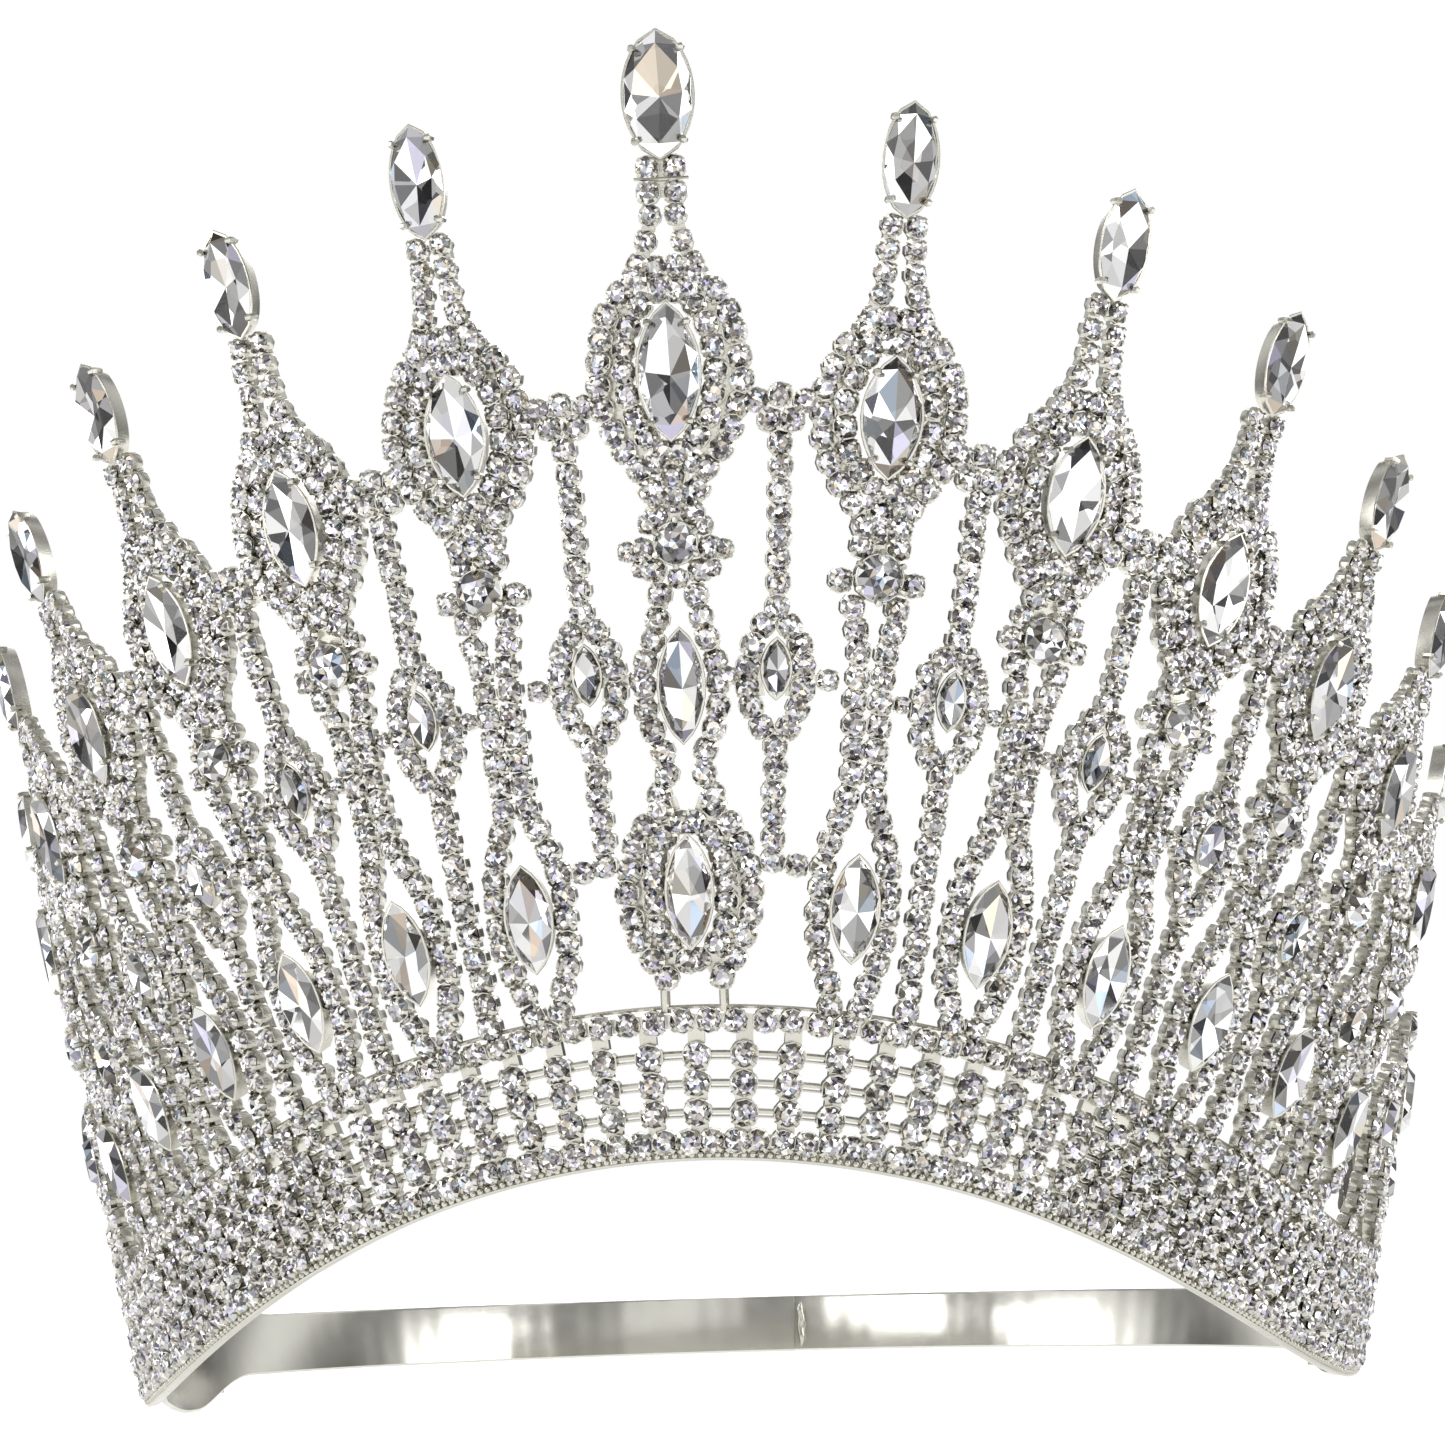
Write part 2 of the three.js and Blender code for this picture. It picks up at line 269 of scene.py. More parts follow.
def painted_facet_tone(shares):
    """Painted reflection of one facet: a grey for the light or dark it seems to return, with a rare
    painted touch of fire.
    """
    grey = random.choices(PAINTED_GLINT_GREYS, shares)[0]
    tint = random.choices(PAINTED_FIRE_TINTS, TINT_SHARES)[0]
    return tuple(grey * c for c in tint) + (1.0,)


class Batch:
    """Vertices and faces gathered from many stamped shapes, made into one object."""

    def __init__(self, shares=None):
        self.points, self.faces, self.count = [], [], 0
        self.shares, self.tones = shares, []

    def add(self, shape, place=None, scale=(1, 1, 1)):
        points, faces = shape
        points = np.asarray(points, float) * np.asarray(scale, float)
        if place is not None:
            points = points @ place[:3, :3].T + place[:3, 3]
        self.points.append(points)
        self.faces.extend([tuple(i + self.count for i in face) for face in faces])
        # Each face gets its painted reflection grey and tint
        if self.shares:
            self.tones.extend((painted_facet_tone(self.shares), len(face)) for face in faces)
        self.count += len(points)

    def piece(self, name, material, slot, replaced=(), smooth=None):
        """Makes the object; `smooth` is the angle above which its edges stay sharp."""
        mesh = bpy.data.meshes.new(name)
        mesh.from_pydata((np.concatenate(self.points) * 0.001).tolist(), [], self.faces)
        mesh.materials.append(material)
        # The painted facet reflections are stored as a colour layer
        if self.shares:
            layer = mesh.color_attributes.new("facet", "FLOAT_COLOR", "CORNER")
            colours = [c for tone, corners in self.tones for _ in range(corners) for c in tone]
            layer.data.foreach_set("color", colours)
        if smooth is not None:
            mesh.polygons.foreach_set("use_smooth", [True] * len(mesh.polygons))
            mesh.set_sharp_from_angle(angle=math.radians(smooth))
        piece = bpy.data.objects.new(name, mesh)
        bpy.context.scene.collection.objects.link(piece)
        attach(piece, "root")
        if replaced:
            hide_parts(*replaced)


def lathe(profile, sides, spin=0.0):
    """Closed solid from a profile of (radius, z) whose first and last points are flat rings."""
    points, faces = [], []
    for radius, z in profile:
        for i in range(sides):
            a = 2 * math.pi * i / sides + spin
            points.append((radius * math.cos(a), radius * math.sin(a), z))
    for k in range(len(profile) - 1):
        for i in range(sides):
            j = (i + 1) % sides
            faces.append((k * sides + i, k * sides + j, (k + 1) * sides + j, (k + 1) * sides + i))
    faces.append(tuple(reversed(range(sides))))
    last = (len(profile) - 1) * sides
    faces.append(tuple(last + i for i in range(sides)))
    return points, faces


def rings_solid(rings):
    """Closed solid through rings of equal point counts, capped at both ends."""
    n = len(rings[0])
    points = [tuple(p) for ring in rings for p in ring]
    faces = []
    for k in range(len(rings) - 1):
        for i in range(n):
            j = (i + 1) % n
            faces.append((k * n + i, k * n + j, (k + 1) * n + j, (k + 1) * n + i))
    faces.append(tuple(reversed(range(n))))
    faces.append(tuple((len(rings) - 1) * n + i for i in range(n)))
    return points, faces


def inside_out(shape):
    """The shape with its faces turned over."""
    return shape[0], [tuple(reversed(f)) for f in shape[1]]


def offsets(place, points):
    """Points of a place's own frame, as points in space."""
    return [place[:3, :3] @ np.array(p) + place[:3, 3] for p in points]


def strip(places, half, back, front):
    """A flat bar through a row of places: `half` its width, from `back` out to `front`."""
    section = [(-half, 0, back), (half, 0, back), (half, 0, front), (-half, 0, front)]
    return inside_out(rings_solid([offsets(place, section) for place in places]))


def tube(path, radius, sides=6, taper=None):
    """Round bar along points in space, capped at both ends."""
    path = [np.asarray(p, float) for p in path]
    rings = []
    previous = None
    for k, p in enumerate(path):
        way = path[min(k + 1, len(path) - 1)] - path[max(k - 1, 0)]
        way = way / np.linalg.norm(way)
        helper = previous if previous is not None else np.array([0.3, 0.2, 0.93])
        side = helper - way * float(helper @ way)
        side = side / np.linalg.norm(side)
        other = np.cross(way, side)
        previous = side
        r = radius * (taper[k] if taper else 1)
        rings.append([p + r * (math.cos(a) * side + math.sin(a) * other)
                      for a in (2 * math.pi * i / sides for i in range(sides))])
    return rings_solid(rings)


def round_stone(table=0.56, crown=0.42):
    """Brilliant crown of radius 1: octagonal table, stars and mains, and a hidden flat back."""
    points, faces = [], []
    for i in range(8):
        a = math.pi * i / 4
        points.append((table * math.cos(a), table * math.sin(a), crown))
    for i in range(8):
        a = math.pi * (i + 0.5) / 4
        points.append((0.8 * math.cos(a), 0.8 * math.sin(a), crown * 0.52))
    for i in range(16):
        a = math.pi * i / 8
        points.append((math.cos(a), math.sin(a), 0))
    for i in range(16):
        a = math.pi * i / 8
        points.append((0.9 * math.cos(a), 0.9 * math.sin(a), -0.25))
    star = len(points)
    for i in range(8):
        a = math.pi * (i + 0.5) / 4
        z = crown - (0.16 if i % 2 else 0.05)
        points.append((table * 0.5 * math.cos(a), table * 0.5 * math.sin(a), z))
    points.append((0.03, 0.02, crown - 0.1))
    for i in range(8):
        j = (i + 1) % 8
        faces += [(i, j, star + i), (j, star + j, star + i), (star + i, star + j, star + 8)]
    for i in range(8):
        j = (i + 1) % 8
        m, before = 8 + i, 8 + (i - 1) % 8
        g = 16 + 2 * i
        faces.append((i, m, j))
        faces.append((i, before, g, m))
        faces.append((m, g, g + 1))
        faces.append((m, g + 1, 16 + (2 * i + 2) % 16))
    for i in range(16):
        j = (i + 1) % 16
        faces.append((16 + i, 32 + i, 32 + j, 16 + j))
    faces.append(tuple(32 + i for i in reversed(range(16))))
    return points, [tuple(reversed(f)) if flipped(points, f) else f for f in faces]


def flipped(points, face):
    """True where a face of a shape that surrounds (0, 0, 0) points inwards."""
    p = np.array([points[i] for i in face], float)
    normal = np.zeros(3)
    for i in range(len(p)):
        normal += np.cross(p[i], p[(i + 1) % len(p)])
    return float(normal @ p.mean(0)) < 0


def small_stone(table=0.54, crown=0.5):
    """A simpler cut for the pave, its table broken by the facets seen through it."""
    points, faces = [], []
    for i in range(8):
        a = math.pi * i / 4
        points.append((table * math.cos(a), table * math.sin(a), crown))
    for i in range(8):
        a = math.pi * (i + 0.5) / 4
        points.append((math.cos(a), math.sin(a), 0))
    for i in range(8):
        j = (i + 1) % 8
        faces += [(i, 8 + i, j), (j, 8 + i, 8 + j), (i, j, 16)]
    points.append((0.04, -0.03, crown * 0.72))
    faces.append(tuple(8 + i for i in reversed(range(8))))
    shifted = np.array(points) - (0, 0, 0.1)
    return points, [tuple(reversed(f)) if flipped(shifted, f) else f for f in faces]


def cup(radius, inner, low, high, sides):
    """The shallow cup of one small stone, tapered below and hollow at the top."""
    return lathe([(radius * 0.9, low), (radius, low + 0.25), (radius, high), (inner, high),
                  (inner, high - 0.35)], sides, math.pi / sides)


def prong(radius, high, width, reach=0.5):
    """A claw bent over a stone's edge, standing on the cup's rim at angle 0."""
    w = width / 2
    rings = []
    for r, z, half in ((radius, high - 0.5, w), (radius * 0.97, high + 0.22, w * 0.9),
                       (radius - reach * 0.75, high + 0.5, w * 0.6)):
        thick = 0.17
        rings.append([(r + thick, -half, z), (r + thick * 0.7, half, z),
                      (r - thick, half, z - 0.05), (r - thick, -half, z - 0.05)])
    points, faces = rings_solid(rings)
    return np.array(points), faces


def turned(shape, angle):
    """The shape turned about its own z axis."""
    c, s = math.cos(angle), math.sin(angle)
    points = np.asarray(shape[0], float) @ np.array([[c, s, 0], [-s, c, 0], [0, 0, 1]])
    return points, shape[1]


SMALL = small_stone()
BRILLIANT = round_stone()
CUP = cup(CUP_RADIUS, STONE_RADIUS * 0.95, -0.95, CUP_TOP, CUP_SIDES)
CLAW = prong(CUP_RADIUS - 0.1, CUP_TOP + 0.1, 0.5)
CLAWS = [turned(CLAW, math.pi * (k + 0.5) / 2) for k in range(4)]


def nudge(place, tip=STONE_TIP):
    """The place with a slight random tilt and spin, as hand-set stones have."""
    a, b = random.gauss(0, tip), random.gauss(0, tip)
    spin = random.uniform(0, math.pi / 4)
    c, s = math.cos(spin), math.sin(spin)
    turn = np.array([[c, -s, 0], [s, c, 0], [0, 0, 1]])
    tilt = np.array([[1, 0, a], [0, 1, b], [-a, -b, 1]])
    result = place.copy()
    result[:3, :3] = place[:3, :3] @ (turn @ tilt)
    return result


class Pave:
    """One jewelled part: a batch of metal settings and a batch of crystals."""

    def __init__(self, column=None):
        self.column = column
        self.metal, self.crystal, self.big = Batch(), Batch(FACET_SHARES), Batch(LARGE_SHARES)

    def stone(self, x, h, turn=0.0, size=1.0, place=None):
        """A small round stone in its four-claw cup."""
        place = self.column.seat(x, h, 0.0, turn) if place is None else place.copy()
        place[:3, 3] += place[:3, :3] @ np.array([random.gauss(0, s) for s in STONE_SHIFT])
        scale = (size, size, 1)
        self.metal.add(CUP, place, scale)
        for claw in CLAWS:
            self.metal.add(claw, place, scale)
        top = moved_out(place, CUP_TOP + STONE_LIFT)
        self.crystal.add(SMALL, nudge(top), (STONE_RADIUS * size,) * 3)

    def chain(self, path, pitch=PITCH, size=1.0):
        """Stones spaced evenly along a smooth path of (x, h) points, on a metal rail."""
        self.rail(path, size)
        for x, h, turn in spaced(path, pitch):
            self.stone(x, h, turn, size)

    def rail(self, path, size=1.0, half=RAIL_HALF, front=RAIL_FRONT):
        """The narrow plate that a chain of cups is cast on."""
        places = [self.column.seat(x, h, 0, turn) for x, h, turn in spaced(path, 1.0)]
        self.metal.add(strip(places, half * size, RAIL_BACK, front))

    def pair(self, path, **options):
        """The same chain on both sides of the column."""
        self.chain(path, **options)
        self.chain([(-x, h) for x, h in path], **options)

    def plate(self, path, half=1.5):
        """A thin plate behind two chains that run side by side, on both sides of the column."""
        for side in (-1, 1):
            self.rail([(side * x, h) for x, h in path], half=half, front=-0.65)

    def wire(self, path, radius, out):
        """A plain round wire along (x, h) points."""
        self.metal.add(tube([self.column.seat(x, h, out)[:3, 3] for x, h in path], radius))

    def chaton(self, x, h, radius, out=0.6, claws=6):
        """A large round stone in a deep collet with bead-tipped claws."""
        place = self.column.seat(x, h, out)
        wall = radius + 0.16
        self.metal.add(lathe([(wall * 0.9, -1.6), (wall, -1.2), (wall, 0.45), (wall - 0.08, 0.55),
                              (radius * 0.96, 0.55), (radius * 0.96, 0.1)], 24), place)
        for k in range(claws):
            self.claw(place, radius, 2 * math.pi * (k + 0.5) / claws, 0.7)
        self.big.add(BRILLIANT, nudge(moved_out(place, 0.62), 0.03), (radius, radius, radius))

    def claw(self, place, radius, angle, high, bead=0.36):
        """A round-tipped claw leaning over a stone's edge towards its centre."""
        c, s = math.cos(angle), math.sin(angle)
        path = [(0.12, -0.9), (0.26, -0.1), (0.2, 0.3), (-0.15, 0.55)]
        points = offsets(place, [((radius + r) * c, (radius + r) * s, high + z) for r, z in path])
        self.metal.add(tube(points, bead, 6, [0.8, 0.9, 1.0, 0.62]))

    def marquise(self, x, h, width, length, out=0.4, deep=2.2, claws=True, blunt=BLUNT):
        """A navette stone standing in a deep open collet, with four claws at its shoulders."""
        place = self.column.seat(x, h, out)
        rings = [at_height(grown(width, length, by, blunt), z) for by, z in (
            (-0.3, -deep), (0.06, 0.0), (0.16, 0.45), (0.1, 0.55), (-0.1, 0.55), (-0.2, 0.1))]
        self.metal.add(rings_solid(rings), place)
        self.big.add(navette(width, length, blunt), moved_out(place, 0.5))
        if not claws:
            return
        for side in (-1, 1):
            for across in (-1, 1):
                up = side * length * 0.36
                shoulder = width / 2 * (1 - (2 * up / length) ** 2) ** blunt
                base = place.copy()
                base[:3, 3] = place[:3, 3] + place[:3, 1] * up
                self.claw(base, shoulder, 0 if across > 0 else math.pi, 0.6, bead=0.4)


def moved_out(place, distance):
    """The place raised along its own z axis."""
    result = place.copy()
    result[:3, 3] = place[:3, 3] + place[:3, 2] * distance
    return result


def navette_outline(width, length, samples=24, blunt=BLUNT):
    """Marquise outline from the top point round by the right; a smaller `blunt` rounds its ends."""
    points = []
    for i in range(samples):
        t = 2 * i / samples
        up = 1 - 2 * t if t < 1 else 2 * t - 3
        across = (1 - up * up) ** blunt * (1 if t < 1 else -1)
        points.append((across * width / 2, up * length / 2))
    return points


def grown(width, length, by, blunt):
    """The outline of a collet that stands `by` outside the stone."""
    return navette_outline(width + 2 * by, length + 2.4 * by, blunt=blunt)


def at_height(outline, z):
    return [(x, y, z) for x, y in reversed(outline)]


def navette(width, length, blunt):
    """Marquise crown: girdle, a row of crown facets, and eight long facets meeting in the table."""
    n, half = 16, 8
    girdle = navette_outline(width, length, n, blunt)
    points = [(x, y, -0.3) for x, y in girdle] + [(x, y, 0) for x, y in girdle]
    points += [(x, y, 0.95) for x, y in navette_outline(width * 0.72, length * 0.78, half, blunt)]
    points.append((width * 0.03, -length * 0.03, 0.55))
    g, t, centre = n, 2 * n, 2 * n + half
    faces = [tuple(range(n))]
    for i in range(n):
        j = (i + 1) % n
        faces.append((i, j, g + j, g + i))
    for i in range(half):
        j = (i + 1) % half
        faces += [(t + i, g + (2 * i - 1) % n, g + 2 * i, g + 2 * i + 1),
                  (t + i, g + 2 * i + 1, t + j), (t + i, t + j, centre)]
    shifted = np.array(points) + (0, 0, 0.1)
    return points, [tuple(reversed(f)) if flipped(shifted, f) else f for f in faces]


def smooth_path(path, steps=16):
    """Catmull-Rom curve through (x, h) points."""
    p = [np.array(q, float) for q in path]
    p = [2 * p[0] - p[1]] + p + [2 * p[-1] - p[-2]]
    out = []
    for i in range(1, len(p) - 2):
        for k in range(steps):
            t = k / steps
            out.append(0.5 * (2 * p[i] + (p[i + 1] - p[i - 1]) * t
                              + (2 * p[i - 1] - 5 * p[i] + 4 * p[i + 1] - p[i + 2]) * t ** 2
                              + (3 * p[i] - p[i - 1] - 3 * p[i + 1] + p[i + 2]) * t ** 3))
    out.append(p[-2])
    return np.array(out)


def spaced(path, pitch):
    """(x, h, turn) at even spacing along a path, both ends included."""
    curve = smooth_path(path)
    run = np.concatenate([[0], np.cumsum(np.hypot(*np.diff(curve, axis=0).T))])
    count = max(1, round(run[-1] / pitch))
    places = []
    for i in range(count + 1):
        s = run[-1] * i / count
        x, h = (float(np.interp(s, run, curve[:, k])) for k in (0, 1))
        ax, ah = (float(np.interp(max(s - 0.4, 0), run, curve[:, k])) for k in (0, 1))
        bx, bh = (float(np.interp(min(s + 0.4, run[-1]), run, curve[:, k])) for k in (0, 1))
        places.append((x, h, math.atan2(bh - ah, bx - ax) - math.pi / 2))
    return places


def ring_path(h, across, up, start, stop, points=25, low=1.0):
    """Right half of an oval round h, from `start` to `stop` degrees; `low` points its foot."""
    path = []
    for i in range(points):
        a = math.radians(start + (stop - start) * i / (points - 1))
        bulge = math.sin(a) ** (low if a > math.pi / 2 else 1)
        path.append((across * bulge, h + up * math.cos(a)))
    return path


# ---- Layout of the columns ----

def main_halo(pave, h, width, length, neck_top, grow=0.0):
    """The large marquise, its two rings and the neck above. Returns the height of its foot."""
    a, b = width / 2 + 1.4, length / 2 + 1.35
    pave.pair(ring_path(h, a, b, 10, 166, low=1.3))
    low, foot = 1.3 - grow, 1.85 + 2 * grow
    pave.pair(ring_path(h, a + 2.35 + grow, b + 2.3, 8, 147, low=low) + [(foot, h - b - 3.4)])
    pave.plate(ring_path(h, a + 1.2 + grow / 2, b + 1.1, 8, 150, low=low), 1.6)
    pave.stone(0, h - b - 2.1)
    if grow:
        pave.stone(0, h - b - 4.3)
    for side in (-1, 1):
        pave.stone(side * (a * 0.5), h + b * 0.98)
        pave.stone(side * 1.85, h - b - 0.8, size=0.85)
    pave.pair([(1.28, neck_top), (1.5, h + b + 6.4), (1.95, h + b + 4.3), (2.7, h + b + 2.5)],
              size=0.9)
    pave.marquise(0, h, width, length, out=0.8, deep=1.7)
    return h - b - 3.4


def tip(pave, h, width, length):
    """The marquise that crowns a column. Returns the height of the first stones under it."""
    low = h - length / 2 - 0.75
    pave.marquise(0, h, width, length, out=0.55, deep=1.3, blunt=0.6)
    return low


def chaton_group(pave, h, radius, above):
    """A round stone ringed by small ones, under a halo whose foot is at the height `above`."""
    pave.chaton(0, h, radius, out=0.7)
    if above - h - radius > 2.2:
        pave.pair([(1.75, above - 0.3), (1.85, h + radius + 0.75)], pitch=9)
        pave.stone(0, h + radius + 1.9, size=0.85)
    else:
        for side in (-1, 1):
            pave.stone(side * 2.9, h + radius - 0.35, size=0.85)
    pave.rail([(0, above + 2.0), (0, h + radius - 0.3)], half=1.5)
    for side in (-1, 1):
        pave.stone(side * (radius + 1.25), h - 0.5)
        pave.stone(side * 2.25, h - radius - 0.6)


def side_column(n):
    """A tall column: tip stone, double halo, chaton, and a low marquise between two chains."""
    pave = Pave(Column(n))
    k = abs(n)
    low_h, chaton_h, main_h, tip_h = LOWER_STONE[k], CHATON[k], MAIN_STONE[k], TIP_STONE[k]
    bar = tip(pave, tip_h, *TIP_SIZE)
    above = main_halo(pave, main_h, *MAIN_SIZE, bar)
    chaton_group(pave, chaton_h, CHATON_RADIUS, above)
    foot = pave.column.foot(1.3, FOOT_CLEAR)
    pave.pair([(1.85, chaton_h - 5.3), (1.35, chaton_h - 8.0),
               (1.28, low_h + 11.6), (2.1, low_h + 8.6), (3.2, low_h + 4.8), (3.55, low_h),
               (3.2, low_h - 4.2), (2.1, low_h - 7.4), (1.4, min(foot, low_h - 9.6))])
    pave.marquise(0, low_h, *LOWER_SIZE, out=0.8, deep=1.6, claws=False)
    return pave


def centre_column():
    """The middle column, with a second marquise and a double halo at its foot."""
    pave = Pave(Column(0))
    low_h, chaton_h, main_h, tip_h = LOWER_STONE[0], CHATON[0], MAIN_STONE[0], TIP_STONE[0]
    bar = tip(pave, tip_h, *TIP_SIZE_C) + 0.3
    for x in (-1.35, 1.35):
        pave.stone(x, bar - 0.2, size=0.95)
        pave.stone(x, bar - 2.7, size=0.95)
    pave.wire([(-2.7, bar - 1.45), (0, bar - 1.45), (2.7, bar - 1.45)], 0.2, 0.6)
    pave.rail([(0, bar + 1), (0, bar - 3.2)], 2.2)
    above = main_halo(pave, main_h + 0.5, *MAIN_SIZE_C, bar - 2.6 - PITCH, 0.25)
    chaton_group(pave, chaton_h, CHATON_RADIUS_C, above)
    for side in (-1, 1):
        pave.stone(side * 4.75, chaton_h - 0.8, size=0.85)
        pave.stone(side * 2.7, chaton_h + 1.9, size=0.85)
        pave.stone(side * 3.5, chaton_h - 2.4, size=0.75)
    pave.stone(0, chaton_h - 3.5, size=0.85)
    second = SECOND_STONE_C
    pave.pair([(1.7, chaton_h - 5.1), (2.4, second + 5.6),
               (3.4, second + 2.8), (3.65, second), (3.5, second - 2.6), (2.6, second - 5.4),
               (1.8, second - 7.6), (1.95, second - 9.2), (2.6, low_h + 9.6)])
    pave.marquise(0, second, *SECOND_SIZE_C, out=0.6, deep=1.6, claws=False)
    pave.pair(ring_path(low_h, 3.65, 7.0, 9, 170))
    pave.pair(ring_path(low_h, 6.2, 9.1, 24, 152, 11) + [(2.7, low_h - 8.6)])
    pave.plate(ring_path(low_h, 4.95, 8.0, 8, 165), 1.6)
    pave.marquise(0, low_h, *LOWER_SIZE_C, out=0.8, deep=1.6, claws=False)
    for side in (-1, 1):
        x = side * 2.95
        pave.wire([(x, low_h - 8.2), (x, pave.column.foot(x, -1.0))], 0.5, -0.4)
    return pave


def bridge(n):
    """The link between two haloes, with a chain that hangs from it to the band."""
    inner = math.floor(abs(n))
    pave = Pave(Column(n))
    h = BRIDGE_STONE[inner]
    top = (MAIN_STONE[inner] + MAIN_STONE[inner + 1]) / 2 - 1.5
    for x, up in ((-2.5, 0.9), (-0.1, 1.3), (2.4, 0.8), (-1.3, -1.1), (1.2, -1.1)):
        pave.stone(x, top + up)
    pave.chain([(0, top - 3.4), (0, h + 6.9)], pitch=2.45)
    pave.pair([(1.3, h + 4.9), (2.4, h + 2.9), (2.8, h), (2.45, h - 2.9), (1.3, h - 5.1)])
    pave.marquise(0, h + 0.7, *BRIDGE_SIZE, out=0.05, deep=1.0, claws=False)
    pave.plate([(1.9, h + 3.6), (2.3, h), (1.9, h - 2.2)], 0.9)
    if inner:
        for side in (-1, 1):
            pave.stone(side * 4.9, h - 0.4, size=0.72)
            pave.rail([(side * 3.0, h - 0.4), (side * 6.2, h - 0.4)], 0.7)
    else:
        outer = 1 if n > 0 else -1
        pave.stone(5.2 * outer, h - 0.4, size=0.9)
        pave.stone(-4.9 * outer, h - 0.1, size=0.8)
        pave.rail([(5.9 * outer, h - 0.4), (-5.6 * outer, h - 0.1)], 0.7)
    foot = BRIDGE_FOOT_C if inner == 0 else pave.column.foot(0, FOOT_CLEAR)
    pave.chain([(0, h - 7.0), (0, foot)], pitch=2.45)
    if inner == 0:
        for x in (-4.9, -2.45, 2.45, 4.9):
            pave.stone(x, foot - 0.4 - abs(x) * 0.08, size=0.95)
    return pave


def end_column(n):
    """A short column near the end of the band."""
    k = abs(n)
    pave = Pave(Column(n))
    main_h, tip_h = MAIN_STONE[k], TIP_STONE[k]
    foot = pave.column.foot(1.3, FOOT_CLEAR)
    pave.pair([(1.3, tip_h - 5.6), (2.4, main_h + 5.6), (3.6, main_h + 2.2), (3.8, main_h),
               (3.4, main_h - 3.4), (2.0, main_h - 6.4), (1.3, main_h - 8.6), (1.3, foot)])
    pave.plate([(2.2, main_h + 3.4), (2.9, main_h), (2.2, main_h - 3.4)], 1.2)
    pave.marquise(0, main_h, *END_SIZE, out=0.9, claws=False)
    pave.rail([(0, tip_h - 6.0), (0, tip_h - 3.0)], half=1.3)
    pave.chaton(0, tip_h - 2.3, CHATON_RADIUS_END, out=0.6, claws=4)
    return pave


def trim(n, h):
    """A low chain with a drop between the columns at the sides of the band."""
    pave = Pave(Column(n))
    foot = pave.column.foot(0, FOOT_CLEAR)
    pave.chain([(0, foot), (0, h - 5.6)], pitch=2.6)
    pave.pair([(1.3, h - 4.4), (2.5, h - 2.4), (2.9, h), (2.5, h + 2.4), (1.2, h + 4.6)])
    pave.marquise(0, h, *DROP_SIZE, out=0.6, deep=1.5, claws=False)
    pave.stone(0, h + 6.6)
    return pave


# ---- Materials ----

class Tree:
    """Short names for adding and joining shader nodes."""

    def __init__(self, tree):
        self.tree = tree

    def new(self, kind, **settings):
        node = self.tree.nodes.new(kind)
        for key, value in settings.items():
            setattr(node, key, value)
        return node

    def link(self, a, b):
        self.tree.links.new(a, b)

    def feed(self, value, socket):
        """Links an output to the socket, or sets the socket to a plain value."""
        if isinstance(value, (float, tuple)):
            socket.default_value = value
        else:
            self.link(value, socket)

    def reckon(self, operation, *values, kind="ShaderNodeMath"):
        node = self.new(kind, operation=operation)
        for value, socket in zip(values, node.inputs):
            self.feed(value, socket)
        return node.outputs[0]

    def vector(self, operation, *values):
        return self.reckon(operation, *values, kind="ShaderNodeVectorMath")

    def ramp(self, value, stops, blend):
        node = self.new("ShaderNodeValToRGB")
        ramp = node.color_ramp
        ramp.interpolation = blend
        while len(ramp.elements) < len(stops):
            ramp.elements.new(0.5)
        for element, (position, colour) in zip(ramp.elements, stops):
            element.position = position
            element.color = (*colour, 1)
        self.link(value, node.inputs["Fac"])
        return node.outputs["Color"]

    def spread(self, value, low, high, start=0.0, stop=1.0):
        """The value mapped from the range `start` to `stop` onto `low` to `high`."""
        node = self.new("ShaderNodeMapRange")
        node.inputs["From Min"].default_value = start
        node.inputs["From Max"].default_value = stop
        node.inputs["To Min"].default_value = low
        node.inputs["To Max"].default_value = high
        self.link(value, node.inputs["Value"])
        return node.outputs["Result"]


class Nodes(Tree):
    """The node tree of one material."""

    def __init__(self, name):
        self.material = bpy.data.materials.new(name)
        self.material.use_nodes = True
        super().__init__(self.material.node_tree)
        self.shader = self.tree.nodes["Principled BSDF"]
        self.where = self.new("ShaderNodeTexCoord").outputs["Object"]

    def noise(self, scale, detail=2.0, vector=None):
        node = self.new("ShaderNodeTexNoise")
        node.inputs["Scale"].default_value = scale
        node.inputs["Detail"].default_value = detail
        self.link(vector or self.where, node.inputs["Vector"])
        return node.outputs["Fac"]

    def cells(self, scale):
        node = self.new("ShaderNodeTexVoronoi")
        node.inputs["Scale"].default_value = scale
        self.link(self.where, node.inputs["Vector"])
        return node.outputs["Color"]

    def mix(self, factor, a, b, blend="MIX"):
        node = self.new("ShaderNodeMix", data_type="RGBA", blend_type=blend)
        for value, index in ((factor, 0), (a, 6), (b, 7)):
            self.feed(value, node.inputs[index])
        return node.outputs[2]

    def bump(self, height, strength, distance):
        node = self.new("ShaderNodeBump")
        node.inputs["Strength"].default_value = strength
        node.inputs["Distance"].default_value = distance
        self.link(height, node.inputs["Height"])
        return node.outputs["Normal"]


